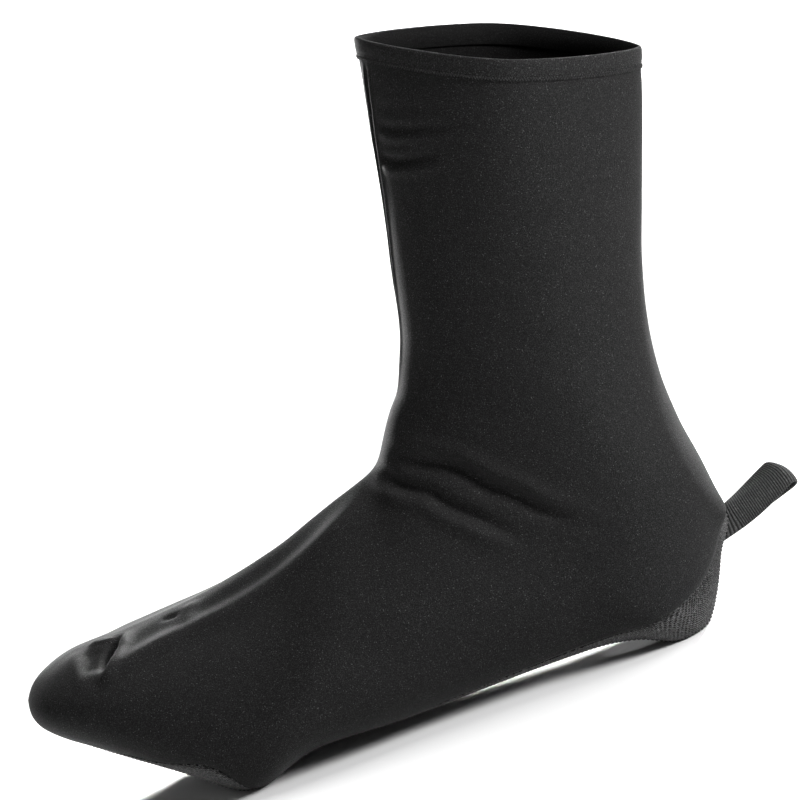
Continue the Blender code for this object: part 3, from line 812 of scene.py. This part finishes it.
teeth = int(round(collar_run[-1] / ZIGZAG_PITCH))
zigzag_shares = np.arange(teeth * ZIGZAG_STEPS) / (teeth * ZIGZAG_STEPS)
edge, down, out = collar_lines(zigzag_shares)
swing = ZIGZAG_HALF_HEIGHT * np.cos(2 * math.pi * teeth * zigzag_shares)[:, None]
zigzag = edge + down * (ZIGZAG_DROP + swing) + out * (HEM_FACE + ZIGZAG_LIFT)
zigzag_mesh = thread_mesh("hem_zigzag", zigzag[None], out[None], THREAD_RADIUS, closed=True)
add_piece(zigzag_mesh, thread)

dashes = int(round(collar_run[-1] / DASH_PITCH))
dash_spread = np.linspace(-0.5, 0.5, DASH_STEPS) * DASH_LENGTH / DASH_PITCH
dash_shares = ((np.arange(dashes)[:, None] + dash_spread) / dashes).reshape(-1)
edge, down, out = collar_lines(np.mod(dash_shares, 1))
sink = np.tile((2 * np.abs(np.linspace(-0.5, 0.5, DASH_STEPS))) ** 3 * DASH_SINK, dashes)[:, None]
dash_lines = (edge + down * DASH_DROP + out * (HEM_FACE - DASH_SEAT - sink)).reshape(dashes, DASH_STEPS, 3)
dash_mesh = thread_mesh("hem_stitches", dash_lines, out.reshape(dash_lines.shape), THREAD_RADIUS)
add_piece(dash_mesh, hem_cloth)

# %% [markdown]
# ## The sole panel
# A coarse ribbed knit closes the shoe below and climbs the heel. The ribs are real relief here: each is
# four rows of the grid, pressed in from the last so that the crests keep the solid's surface. Round
# the heel the rows bend back, which stands the ribs upright on its sides as a stretched knit does.

# %% Rows of the panel along the ribs
PANEL_WALL = 1.8
RIB_PITCH = 1.6
ROWS_PER_RIB = 4
RIB_DEPTHS = (0.2, 0.65)
PANEL_COLUMNS = 40
FINE_STATIONS = 1000
LEAN_MILLIMETRES = 22.0
LEAN_RISE = (10.8, 12.6)
LEAN_FALL = (13.0, 14.5)

even_fine = np.linspace(PANEL_START, PANEL_END, FINE_STATIONS)
fine_stations = np.unique(np.concatenate([even_fine, stations_at_ends()]))
panel_shares = np.linspace(-1, 1, PANEL_COLUMNS)
fine_points = []
fine_normals = []
for station in fine_stations:
    outer = max(panel_reach(station, "outer") - PIECE_GAP, 0)
    inner = max(panel_reach(station, "inner") - PIECE_GAP, 0)
    places = panel_shares * np.where(panel_shares > 0, inner, outer)
    fine_points.append(surface(station, places))
    fine_normals.append(surface_normals(station, places))
fine_points = np.array(fine_points)
fine_normals = np.array(fine_normals)
middle_line = np.array([surface(s, [0])[0] for s in fine_stations])
middle_run = run_along(middle_line)
ribs = int(round(middle_run[-1] / RIB_PITCH))
row_runs = np.linspace(0, middle_run[-1], ribs * ROWS_PER_RIB + 1)
row_phases = np.arange(len(row_runs)) / ROWS_PER_RIB
end_runs = np.interp(stations_at_ends(), fine_stations, middle_run)
end_phases = np.interp(end_runs, row_runs, row_phases)
row_order = np.argsort(np.concatenate([row_runs, end_runs]), kind="stable")
panel_runs = np.concatenate([row_runs, end_runs])[row_order]
panel_phases = np.concatenate([row_phases, end_phases])[row_order]
print("Panel:", ribs, "ribs over", middle_run[-1].round(), "mm")


def rib_lean(run):
    """How far back along the sole a rib has moved by the time it reaches the panel's edge."""
    station = np.interp(run, middle_run, fine_stations)
    rise = eased((station - LEAN_RISE[0]) / (LEAN_RISE[1] - LEAN_RISE[0]))
    fall = eased((LEAN_FALL[1] - station) / (LEAN_FALL[1] - LEAN_FALL[0]))
    return LEAN_MILLIMETRES * rise * fall


# %% Points of the panel
PANEL_EDGE_DEPTH = 0.4
PANEL_EDGE_WIDTH = 1.6
bent_runs = panel_runs[:, None] + rib_lean(panel_runs)[:, None] * panel_shares**2
bent_rows = np.interp(bent_runs, middle_run, np.arange(len(middle_run)))
row_below = np.floor(bent_rows).astype(int).clip(0, len(middle_run) - 2)
row_share = (bent_rows - row_below)[..., None]
columns = np.arange(PANEL_COLUMNS)


def between_rows(table):
    """Values of a table of rows, read between its rows."""
    return table[row_below, columns] * (1 - row_share) + table[row_below + 1, columns] * row_share


panel_points = between_rows(fine_points).reshape(-1, 3)
panel_normals = between_rows(fine_normals).reshape(-1, 3)
rib_phase = np.repeat(panel_phases, PANEL_COLUMNS)
from_seam = from_panel_seam(panel_points)
rib_valley = 0.5 - 0.5 * np.cos(2 * math.pi * rib_phase)
rib_stations = np.repeat(np.interp(panel_runs, middle_run, fine_stations), PANEL_COLUMNS)
rib_depth = np.interp(rib_stations, LEAN_RISE, RIB_DEPTHS)
panel_sink = rib_depth * rib_valley + PANEL_EDGE_DEPTH * np.exp(-((from_seam / PANEL_EDGE_WIDTH) ** 2))
panel_grid = panel_points + (heel_pull(panel_points) - panel_sink)[:, None] * panel_normals
panel_grid[:, 2] = panel_grid[:, 2].clip(0)
panel_grid = panel_grid.reshape(len(panel_runs), PANEL_COLUMNS, 3)

# %% [markdown]
# ## Openings in the panel
# The cleat and the heel pad of the shoe stick out through two ovals. A Boolean would leave ragged triangles
# in so fine a grid, so whole faces inside an oval are dropped and the edge that is left is drawn onto it.

# %% Cut the two ovals
Opening = namedtuple("Opening", "name station length width")
OPENINGS = (Opening("cleat", 7.0, 46.0, 34.0), Opening("heel", 11.75, 30.0, 26.0))
# The middle of an oval has no direction outward, so shares of the way out are divided by at least this.
SMALLEST_SHARE = 0.01


def cut_opening(mesh, opening):
    """Drops the faces inside an oval and draws the edge that is left onto it."""
    middle = surface(opening.station, [0])[0] * MM
    half = np.array([opening.length, opening.width]) / 2 * MM
    bm = bmesh.new()
    bm.from_mesh(mesh)
    inside = {}
    for vert in bm.verts:
        across = (np.array(vert.co)[:2] - middle[:2]) / half
        size = float(np.hypot(*across))
        if size < 1:
            inside[vert] = middle[:2] + across / max(size, SMALLEST_SHARE) * half
    dropped = [face for face in bm.faces if all(vert in inside for vert in face.verts)]
    bmesh.ops.delete(bm, geom=dropped, context="FACES")
    for vert, place in inside.items():
        if vert.is_valid and vert.link_faces:
            vert.co.x, vert.co.y = place
    bm.to_mesh(mesh)
    bm.free()


def store_values(mesh, name, values):
    """Keeps one value for each point of a mesh, for its material to read."""
    mesh.attributes.new(name, "FLOAT", "POINT").data.foreach_set("value", values.astype(np.float32))


panel_mesh = grid_mesh("sole_panel_knit", panel_grid)
store_values(panel_mesh, "rib", rib_phase)
store_values(panel_mesh, "along_rib", np.tile(panel_shares, len(panel_runs)))
weld(panel_mesh)
for opening in OPENINGS:
    cut_opening(panel_mesh, opening)

# %% [markdown]
# ## Gaps between stitches and ribs
# Between the stitches of a knit and the ribs of webbing the cloth lies in shade. Loops of yarn would take
# millions of faces, so a node group darkens a colour towards the gaps of a repeating pattern and gives the
# pattern's height for bump. The mesh keeps a value at each point that says where in the pattern it lies.

# %% A node group that darkens gaps
def make_gap_shade():
    """The group: a colour that darkens towards the gaps of a repeating pattern, and the pattern's height."""
    group = bpy.data.node_groups.new("gap_shade", "ShaderNodeTree")
    group.interface.new_socket("Color", in_out="INPUT", socket_type="NodeSocketColor")
    for name in ("Phase", "Gap", "Dark"):
        group.interface.new_socket(name, in_out="INPUT", socket_type="NodeSocketFloat")
    group.interface.new_socket("Color", in_out="OUTPUT", socket_type="NodeSocketColor")
    group.interface.new_socket("Height", in_out="OUTPUT", socket_type="NodeSocketFloat")
    given = add_node(group, "NodeGroupInput")
    put = add_node(group, "NodeGroupOutput")
    beat = add_node(group, "ShaderNodeMath", {1: 0.5}, operation="PINGPONG")
    gap = add_node(group, "ShaderNodeMapRange", interpolation_type="SMOOTHSTEP")
    darker = add_node(group, "ShaderNodeMix", {"Factor": 1.0}, data_type="RGBA", blend_type="MULTIPLY")
    links = group.links
    links.new(given.outputs["Phase"], beat.inputs[0])
    links.new(beat.outputs[0], gap.inputs["Value"])
    links.new(given.outputs["Gap"], gap.inputs["From Max"])
    links.new(given.outputs["Dark"], gap.inputs["To Min"])
    links.new(given.outputs["Color"], darker.inputs["A"])
    links.new(gap.outputs["Result"], darker.inputs["B"])
    links.new(darker.outputs["Result"], put.inputs["Color"])
    links.new(beat.outputs[0], put.inputs["Height"])
    return group


gap_shade = make_gap_shade()


def shade_gaps(material, phase, gap, dark):
    """Darkens a material where the pattern of this phase has its gaps, and gives the group's node."""
    tree = material.node_tree
    colour = tree.nodes["Principled BSDF"].inputs["Base Color"]
    shade = add_node(tree, "ShaderNodeGroup", {"Gap": gap, "Dark": dark}, node_tree=gap_shade)
    tree.links.new(phase, shade.inputs["Phase"])
    tree.links.new(colour.links[0].from_socket, shade.inputs["Color"])
    tree.links.new(shade.outputs["Color"], colour)
    return shade


# %% The knit's material
STITCHES_ACROSS = 44.0
STITCH_GAP = 0.28
STITCH_DARK = 0.45
STITCH_BUMP = 0.9
STITCH_HEIGHT = 1.2
knit = make_cloth("rib_knit_black", Finish(0.012, 0.11, 0.16, 1100.0, 700.0, 0.78, 0.2, 0.4, 0.6))


def add_stitch_relief(material):
    """Rows of pebbly stitches along the ribs, as bump and as shade in the gaps."""
    tree = material.node_tree
    links = tree.links
    rib = add_node(tree, "ShaderNodeAttribute", attribute_name="rib")
    along = add_node(tree, "ShaderNodeAttribute", attribute_name="along_rib")
    stagger = add_node(tree, "ShaderNodeMath", {1: STITCHES_ACROSS}, operation="MULTIPLY_ADD")
    wale = add_node(tree, "ShaderNodeMath", operation="ROUND")
    half = add_node(tree, "ShaderNodeMath", {1: 0.5}, operation="MULTIPLY")
    links.new(rib.outputs["Fac"], wale.inputs[0])
    links.new(wale.outputs[0], half.inputs[0])
    links.new(along.outputs["Fac"], stagger.inputs[0])
    links.new(half.outputs[0], stagger.inputs[2])
    shade = shade_gaps(material, stagger.outputs[0], STITCH_GAP, STITCH_DARK)
    shader = tree.nodes["Principled BSDF"]
    bump = shader.inputs["Normal"].links[0].from_node
    stitch_bump = add_node(tree, "ShaderNodeBump", {"Strength": STITCH_BUMP, "Distance": STITCH_HEIGHT * MM})
    links.new(shade.outputs["Height"], stitch_bump.inputs["Height"])
    links.new(bump.outputs["Normal"], stitch_bump.inputs["Normal"])
    links.new(stitch_bump.outputs["Normal"], shader.inputs["Normal"])


add_stitch_relief(knit)
sole_panel = add_piece(panel_mesh, knit, PANEL_WALL)
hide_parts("sole_panel")

# %% Overlocked edges of the openings
OVERLOCK_PITCH = 1.6
OVERLOCK_RADIUS = 0.95
OVERLOCK_STEPS = 10
OVERLOCK_THREAD = 0.28
panel_corners = panel_grid.reshape(-1, 3)


def bottom_height(point):
    """The panel's height under a point, from its nearest grid point."""
    return panel_corners[np.argmin(((panel_corners[:, :2] - point[:2]) ** 2).sum(axis=1)), 2]


def overlock(opening):
    """Thread wound round the cut edge of an opening."""
    girth = math.pi * (opening.length + opening.width) / 2
    winds = int(round(girth / OVERLOCK_PITCH))
    turns = np.linspace(0, 2 * math.pi, winds * OVERLOCK_STEPS, endpoint=False)
    middle = surface(opening.station, [0])[0]
    flat = np.stack([np.cos(turns) * opening.length / 2, np.sin(turns) * opening.width / 2], axis=1)
    outline = middle + np.column_stack([flat, np.zeros(len(turns))])
    heights = [bottom_height(point) for point in outline]
    outline[:, 2] = np.array(heights) + PANEL_WALL / 2
    outward = np.column_stack([flat / np.linalg.norm(flat, axis=1)[:, None], np.zeros(len(turns))])
    wind = turns * winds
    around = outward * np.cos(wind)[:, None] + np.array([0, 0, 1.0]) * np.sin(wind)[:, None]
    lines = outline + around * (OVERLOCK_RADIUS - OVERLOCK_THREAD)
    return thread_mesh(opening.name + "_overlock", lines[None], around[None], OVERLOCK_THREAD, closed=True)


for opening in OPENINGS:
    add_piece(overlock(opening), thread)

# %% [markdown]
# ## The pull loop
# A strap of grosgrain webbing is folded and sewn into the heel. Its crosswise ribs are what one sees, so
# they are rows of the mesh: the strap's section is carried along the fold and thins between the ribs.

# %% The folded strap
LOOP_LENGTH = 33.6
LOOP_WIDTH = 13.0
LOOP_THICKNESS = 1.1
LOOP_TIP_RADIUS = 3.0
LOOP_PITCH_DEGREES = 15.0
# At the sewn end and at the tip: how far the loop's top leans to the outer side, how sharply the strap
# is folded along its length, and where that fold lies, as a share of the width from the inner edge.
LOOP_LEAN_DEGREES = (8.0, 42.0)
LOOP_FOLD_DEGREES = (100.0, 12.0)
LOOP_FOLD_SHARES = (0.3, 0.65)
# The strap turns back slantwise at the tip: its inner edge by this much earlier than its outer one, which
# falls off across the width with this power.
LOOP_SLANT = 5.5
LOOP_SLANT_POWER = 2.5
LOOP_FOLD_ROUND = 5.0
LOOP_TUCK = 0.9
LOOP_SEWN_STEPS = 40
LOOP_LEG_STEPS = 210
LOOP_TIP_STEPS = 90
LOOP_ACROSS = 19
WEBBING_RIB = 1.0
WEBBING_RIB_DEPTH = 0.3
RIB_END_POWER = 8
SELVEDGE = 0.12
SELVEDGE_SHARE = 0.1


def loop_path():
    """The folded strap's middle line, as distances along the loop's axis and off it."""
    tip_start = LOOP_LENGTH - LOOP_THICKNESS / 2 - LOOP_TIP_RADIUS
    shares = np.arange(LOOP_LEG_STEPS) / LOOP_LEG_STEPS
    offs = LOOP_THICKNESS + (LOOP_TIP_RADIUS - LOOP_THICKNESS) * eased(shares)
    leg = list(zip(shares * tip_start, offs))
    turns = np.linspace(0, math.pi, LOOP_TIP_STEPS)
    tip = list(zip(tip_start + LOOP_TIP_RADIUS * np.sin(turns), LOOP_TIP_RADIUS * np.cos(turns)))
    return np.array(leg + tip + [(along, -off) for along, off in reversed(leg)])


def make_loop_grid():
    """Points of the strap, rings of its section along the fold, and how many ribs lie before each ring."""
    heel = surface_normals(LOOP_STATION, [0])[0]
    pitch = math.radians(LOOP_PITCH_DEGREES)
    axis = np.array([math.cos(pitch), 0, math.sin(pitch)])
    up = np.array([-axis[2], 0, axis[0]])
    outward = np.array([0, -1.0, 0])
    alongs, offs = loop_path().T
    lean, fold, share = (
        np.interp(alongs, (0, LOOP_LENGTH), ends)[:, None]
        for ends in (np.radians(LOOP_LEAN_DEGREES), np.radians(LOOP_FOLD_DEGREES), LOOP_FOLD_SHARES)
    )
    spots = np.linspace(0, 1, LOOP_ACROSS)
    angles = (lean + fold * eased((spots - share) * LOOP_WIDTH / LOOP_FOLD_ROUND + 0.5))[..., None]
    across = outward * np.cos(angles) - up * np.sin(angles)
    off_axis = up * np.cos(angles) + outward * np.sin(angles)
    steps = (across[:, 1:] + across[:, :-1]) / 2 * LOOP_WIDTH / (LOOP_ACROSS - 1)
    sheet = np.concatenate([np.zeros_like(steps[:, :1]), np.cumsum(steps, axis=1)], axis=1)
    fold_column = share[:, 0] * (LOOP_ACROSS - 1)
    before = fold_column.astype(int)
    part = (fold_column - before)[:, None]
    rows = np.arange(len(alongs))
    at_fold = sheet[rows, before] * (1 - part) + sheet[rows, before + 1] * part
    slant = LOOP_SLANT * (alongs[:, None] / LOOP_LENGTH) ** 2 * (1 - spots) ** LOOP_SLANT_POWER
    lines = loop_root + axis * (alongs[:, None] - slant)[..., None] + sheet - at_fold[:, None]
    lines += off_axis * offs[:, None, None]
    thick = np.cross(across, np.gradient(lines, axis=0))
    thick /= np.linalg.norm(thick, axis=2)[..., None]
    middle = lines[:, LOOP_ACROSS // 2]
    ribs_before = run_along(middle) / WEBBING_RIB
    dip = WEBBING_RIB_DEPTH * (0.5 - 0.5 * np.cos(2 * math.pi * ribs_before))
    from_middle = np.abs(2 * spots - 1)
    edge = SELVEDGE * np.exp(-(((1 - from_middle) / SELVEDGE_SHARE) ** 2))
    half = (LOOP_THICKNESS / 2 - dip[:, None] * (1 - from_middle**RIB_END_POWER) - edge)[..., None]
    faces = [lines + thick * half, (lines - thick * half)[:, ::-1]]
    rims = [lines[:, end] + across[:, end] * way * SELVEDGE for end, way in ((-1, 1), (0, -1))]
    rings = np.concatenate([faces[0], rims[0][:, None], faces[1], rims[1][:, None]], axis=1)
    for leg in (rings[:LOOP_SEWN_STEPS], rings[: -LOOP_SEWN_STEPS - 1 : -1]):
        short = -LOOP_TUCK - (leg[0] - loop_root) @ heel
        stretch = np.linspace(1, 0, LOOP_SEWN_STEPS)[:, None, None]
        leg += axis * (short / (axis @ heel))[:, None] * stretch
    return rings[:, ::-1], ribs_before


# %% The strap's mesh and material
WEBBING_GAP = 0.4
WEBBING_DARK = 0.06
# Half a rib on, because the gaps lie between the crests.
GAP_SHIFT = 0.5
loop_grid, ribs_before = make_loop_grid()
loop_mesh = grid_mesh("pull_loop_webbing", loop_grid, closed_columns=True)
store_values(loop_mesh, "rib", np.repeat(ribs_before + GAP_SHIFT, loop_grid.shape[1]))
webbing = make_cloth("webbing_black", Finish(0.035, 0.09, 0.1, 2200.0, 900.0, 0.5, 0.1, 0.3, 0.2))
strap_rib = add_node(webbing.node_tree, "ShaderNodeAttribute", attribute_name="rib")
shade_gaps(webbing, strap_rib.outputs["Fac"], WEBBING_GAP, WEBBING_DARK)
loop = add_piece(loop_mesh, webbing)
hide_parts("pull_loop")

# %% [markdown]
# ## Floor, light and camera
# The photograph is a cut-out on white, taken from the outer side, a little above, with the shoe tipped onto
# its toe. Here the shoe stands on its sole, so the camera is rolled instead. A pale floor and soft lights
# stand in for the studio: a key from the heel's side, a broad light from above, and one that keeps the floor
# behind white. Two small lamps behind the shoe draw the bright band along the instep and the shin's edge.

# %% The floor
FLOOR_SIZE = 40.0
FLOOR_SHADE = (0.9, 0.9, 0.9, 1)
FLOOR_ROUGHNESS = 0.9
floor_mesh = bpy.data.meshes.new("floor")
half_floor = FLOOR_SIZE / 2
floor_corners = [(-half_floor, -half_floor, 0), (half_floor, -half_floor, 0)]
floor_corners += [(half_floor, half_floor, 0), (-half_floor, half_floor, 0)]
floor_mesh.from_pydata(floor_corners, [], [(0, 1, 2, 3)])
floor = bpy.data.objects.new("floor", floor_mesh)
bpy.context.scene.collection.objects.link(floor)
floor_paint = bpy.data.materials.new("pale_floor")
floor_paint.use_nodes = True
floor_shader = floor_paint.node_tree.nodes["Principled BSDF"]
floor_shader.inputs["Base Color"].default_value = FLOOR_SHADE
floor_shader.inputs["Roughness"].default_value = FLOOR_ROUGHNESS
floor_mesh.materials.append(floor_paint)

# %% The lights
Lamp = namedtuple("Lamp", "name place aim size watts spread")
LAMPS = (
    Lamp("key_softbox", (1.4, -0.7, 0.9), (0.05, 0, 0.12), 0.6, 43.0, 180),
    Lamp("backdrop_light", (-0.4, 1.6, 1.6), (-0.4, 1.6, 0), 1.2, 20.0, 70),
    Lamp("instep_light", (0.5, 0.85, 0.45), (-0.08, 0, 0.07), 0.25, 2.0, 22),
    Lamp("shin_light", (-0.5, 0.9, 0.35), (0.05, 0, 0.22), 0.25, 0.4, 16),
)
TOP_LIGHT_FROM = (0.3, 0.3, 0.9)
TOP_LIGHT_STRENGTH = 2.7
TOP_LIGHT_SPREAD = math.radians(60)
LAMP_UP = (0, 0.01, 1)


def look(place, aim, up):
    """The rotation of a lamp or camera at place that looks at aim, with up towards the top."""
    forward = (Vector(aim) - Vector(place)).normalized()
    right = forward.cross(Vector(up)).normalized()
    return Matrix((right, right.cross(forward), -forward)).transposed().to_4x4()


for lamp in LAMPS:
    light = bpy.data.lights.new(lamp.name, "AREA")
    light.energy = lamp.watts
    light.size = lamp.size
    light.spread = math.radians(lamp.spread)
    holder = bpy.data.objects.new(lamp.name, light)
    holder.matrix_world = Matrix.Translation(lamp.place) @ look(lamp.place, lamp.aim, LAMP_UP)
    bpy.context.scene.collection.objects.link(holder)
top_light = bpy.data.lights.new("top_light", "SUN")
top_light.energy = TOP_LIGHT_STRENGTH
top_light.angle = TOP_LIGHT_SPREAD
top_holder = bpy.data.objects.new("top_light", top_light)
top_holder.matrix_world = look(TOP_LIGHT_FROM, (0, 0, 0), LAMP_UP)
bpy.context.scene.collection.objects.link(top_holder)
WORLD_STRENGTH = 0.12
world = bpy.data.worlds.new("studio")
world.use_nodes = True
world.node_tree.nodes["Background"].inputs["Color"].default_value = (1, 1, 1, 1)
world.node_tree.nodes["Background"].inputs["Strength"].default_value = WORLD_STRENGTH
bpy.context.scene.world = world
bpy.context.scene.view_settings.view_transform = "Standard"

# %% The camera
# The photograph's angle to the shoe: its roll, its height, and where AIM falls in the picture.
PICTURE_SIZE = 800
CAMERA_ROLL = math.radians(18.873)
CAMERA_HEIGHT = math.radians(14.0)
CAMERA_AWAY = 2.4
PIXELS_PER_METRE = 2548.0
AIM = Vector((0, 0, 0.12))
AIM_PIXEL = (351.07, 424.26)
SENSOR = 36.0

right = Vector((math.cos(CAMERA_ROLL), 0, -math.sin(CAMERA_ROLL)))
shoe_up = Vector((math.sin(CAMERA_ROLL), 0, math.cos(CAMERA_ROLL)))
forward = math.cos(CAMERA_HEIGHT) * Vector((0, 1, 0)) - math.sin(CAMERA_HEIGHT) * shoe_up
picture_up = right.cross(forward)
eye = AIM - CAMERA_AWAY * forward
middle_right = (PICTURE_SIZE / 2 - AIM_PIXEL[0]) / PIXELS_PER_METRE
middle_up = (AIM_PIXEL[1] - PICTURE_SIZE / 2) / PIXELS_PER_METRE
target = AIM + right * middle_right + picture_up * middle_up
camera_data = bpy.data.cameras.new("photo_camera")
camera_data.sensor_width = SENSOR
camera_data.lens = SENSOR * PIXELS_PER_METRE * CAMERA_AWAY / PICTURE_SIZE
camera = bpy.data.objects.new("photo_camera", camera_data)
camera.matrix_world = Matrix.Translation(eye) @ look(eye, target, picture_up)
bpy.context.scene.collection.objects.link(camera)
bpy.context.scene.camera = camera
print("Camera", round(eye.z, 2), "m above the floor, lens", round(camera_data.lens), "mm")
